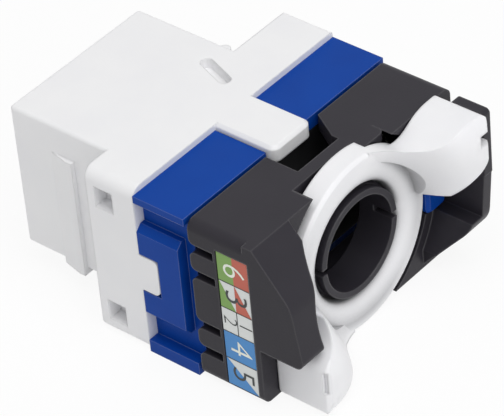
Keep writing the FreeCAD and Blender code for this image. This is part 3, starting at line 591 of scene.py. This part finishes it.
NEAR_CELLS = wiring_rows((Ink.GREEN, Ink.ORANGE), Ink.BLUE, ("6", "3", "21", "4", "5"))
FAR_CELLS = wiring_rows((Ink.ORANGE, Ink.GREEN), Ink.BROWN, ("2", "1", "21", "8", "7"))


@dataclass
class Mouldings:
    """The jack's own solids, each with the finish of the real piece.

    Attributes:
        finishes: Finish by the start of the node's name.
    """

    finishes: Dict[str, Finish] = field(default_factory=lambda: {
        "front_housing": WHITE_POLYCARBONATE,
        "lock_ring": WHITE_ACETAL,
        "idc_block": BLUE_POLYBUTYLENE,
        "wire_guide": CHARCOAL_ABS,
        "contact_carrier": BLACK_NYLON,
        "pair_separator": BLACK_NYLON,
        "circuit_board": LACQUERED_LAMINATE,
        "spring_contact": GOLD_PLATED_WIRE,
        "idc_contact": TINNED_SHEET,
        "label": Ink.PAPER.value,
    })

    def build(self) -> List[bpy.types.Object]:
        """Dress every node.

        Returns:
            The dressed nodes.
        """
        dressed = []
        for name, node in sorted(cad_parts.items()):
            finish = next(f for start, f in self.finishes.items() if name.startswith(start))
            node.data.materials.clear()
            node.data.materials.append(finish.material())
            dressed.append(node)
        return dressed


def seen_share(tree: bpy.types.NodeTree) -> bpy.types.NodeSocket:
    """1 for rays that show the floor or sky, straight or in a reflection, and 0 for the others.

    Args:
        tree: Node tree of the floor or the sky.

    Returns:
        The share's socket.
    """
    path = add_node(tree, "ShaderNodeLightPath").outputs
    mirrored = add_node(tree, "ShaderNodeMath",
                        links={0: path["Is Glossy Ray"], 1: path["Is Transmission Ray"]},
                        operation="MAXIMUM").outputs[0]
    return add_node(tree, "ShaderNodeMath", links={0: path["Is Camera Ray"], 1: mirrored},
                    operation="MAXIMUM").outputs[0]


@dataclass(frozen=True)
class Softbox:
    """Square soft lamp that faces the object.

    Attributes:
        name: Lamp name.
        place: Its centre, x, y and z.
        size: Its side.
        watts: Its power.
    """

    name: str
    place: Tuple[float, float, float]
    size: float
    watts: float


@dataclass
class Studio:
    """Floor, lamps, sky and camera.

    Attributes:
        target: Point that the camera looks at.
        azimuth: Camera's direction round the object, degrees; 0 looks along +Y.
        elevation: Camera's height above the horizon, degrees.
        roll: Turn of the picture, degrees.
        distance: Camera to target.
        lens: Focal length, in millimetres.
        sensor: Sensor's width, in millimetres.
        near: Where the camera starts to see.
        sky: Strength of the even light from all round.
        reach: Floor's half side.
        cloud: Width of the faint clouds in the floor's paint.
        whiteness: How much of the seen floor is plain white; the rest takes the shadow.
        lamps: The soft lamps.
    """

    target: Vector = field(default_factory=lambda: Vector((mm(0.554), mm(0.510), mm(7.656))))
    azimuth: float = 132.87
    elevation: float = 38.57
    roll: float = -5.5
    distance: float = mm(307.1)
    lens: float = 260.46
    sensor: float = 36.0
    near: float = mm(10)
    sky: float = 0.45
    reach: float = mm(900)
    cloud: float = 1.0 / 6.0
    whiteness: float = 0.9
    lamps: Tuple[Softbox, ...] = (
        Softbox("key_softbox", (mm(60), mm(120), mm(420)), mm(320), 1.02),
        Softbox("side_softbox", (mm(90), mm(400), mm(190)), mm(260), 0.33),
    )

    def floor(self) -> None:
        """Pale floor that stays white to the eye and keeps the object's soft shadow."""
        mesh = bpy.data.meshes.new("floor")
        half = self.reach
        mesh.from_pydata([(-half, -half, 0), (half, -half, 0), (half, half, 0), (-half, half, 0)],
                         [], [(0, 1, 2, 3)])
        made = bpy.data.materials.new("pale_painted_floor")
        made.use_nodes = True
        tree = made.node_tree
        tree.nodes.clear()
        place = add_node(tree, "ShaderNodeTexCoord").outputs["Object"]
        cloud = add_node(tree, "ShaderNodeTexNoise", {"Scale": 1.0 / self.cloud},
                         {"Vector": place}).outputs["Fac"]
        colour = add_node(tree, "ShaderNodeMix",
                          {MIX_FIRST: tone("#F4F4F4"), MIX_SECOND: tone("#F7F7F7")},
                          {MIX_SHARE: cloud}, data_type="RGBA").outputs[MIX_RESULT]
        paint = add_node(tree, "ShaderNodeBsdfDiffuse", links={"Color": colour}).outputs["BSDF"]
        white = add_node(tree, "ShaderNodeEmission",
                         {"Color": WHITE_LIGHT, "Strength": 1.0}).outputs[0]
        share = add_node(tree, "ShaderNodeMath", {1: self.whiteness}, {0: seen_share(tree)},
                         operation="MULTIPLY").outputs[0]
        mix = add_node(tree, "ShaderNodeMixShader",
                       links={0: share, 1: paint, 2: white}).outputs[0]
        add_node(tree, "ShaderNodeOutputMaterial", links={"Surface": mix})
        mesh.materials.append(made)
        ground = bpy.data.objects.new("floor", mesh)
        bpy.context.scene.collection.objects.link(ground)

    def world(self) -> None:
        """White to the eye and in reflections, an even soft light for everything else."""
        world = bpy.data.worlds.new("soft_sky")
        world.use_nodes = True
        tree = world.node_tree
        tree.nodes.clear()
        seen = seen_share(tree)
        soft, white = (add_node(tree, "ShaderNodeBackground",
                                {"Color": WHITE_LIGHT, "Strength": strength}).outputs[0]
                       for strength in (self.sky, 1.0))
        mix = add_node(tree, "ShaderNodeMixShader", links={0: seen, 1: soft, 2: white}).outputs[0]
        add_node(tree, "ShaderNodeOutputWorld", links={"Surface": mix})
        bpy.context.scene.world = world

    def hang(self, lamp: Softbox) -> None:
        """Hang one lamp.

        Args:
            lamp: The lamp.
        """
        data = bpy.data.lights.new(lamp.name, "AREA")
        data.shape = "SQUARE"
        data.size = lamp.size
        data.energy = lamp.watts
        light = bpy.data.objects.new(lamp.name, data)
        place = Vector(lamp.place)
        light.location = place
        light.rotation_euler = (self.target - place).to_track_quat("-Z", "Y").to_euler()
        bpy.context.scene.collection.objects.link(light)

    def camera(self) -> None:
        """Set the camera by its direction, height, roll and distance."""
        turn, rise = math.radians(self.azimuth), math.radians(self.elevation)
        back = Vector((math.sin(turn) * math.cos(rise), -math.cos(turn) * math.cos(rise),
                       math.sin(rise)))
        right = (-back).cross(Vector((0, 0, 1))).normalized()
        right = Matrix.Rotation(math.radians(-self.roll), 3, back).inverted() @ right
        up = back.cross(right)
        data = bpy.data.cameras.new("camera")
        data.lens = self.lens
        data.sensor_width = self.sensor
        data.clip_start = self.near
        camera = bpy.data.objects.new("camera", data)
        pose = Matrix((right, up, back)).transposed().to_4x4()
        pose.translation = self.target + back * self.distance
        camera.matrix_world = pose
        bpy.context.scene.collection.objects.link(camera)
        bpy.context.scene.camera = camera

    def build(self) -> None:
        """Set up the whole studio."""
        self.floor()
        self.world()
        for lamp in self.lamps:
            self.hang(lamp)
        self.camera()
        bpy.context.scene.view_settings.view_transform = "Standard"


def main() -> None:
    """Dress the jack, print its labels and set the studio."""
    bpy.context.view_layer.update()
    for node in Mouldings().build():
        LOG.info("dressed %s", node.name)
    for label in (WiringLabel("label_left", 1, NEAR_CELLS),
                  WiringLabel("label_right", -1, FAR_CELLS)):
        LOG.info("printed %s", label.build().name)
    Studio().build()


if __name__ == "__main__":
    logging.basicConfig(level=logging.INFO)
    main()
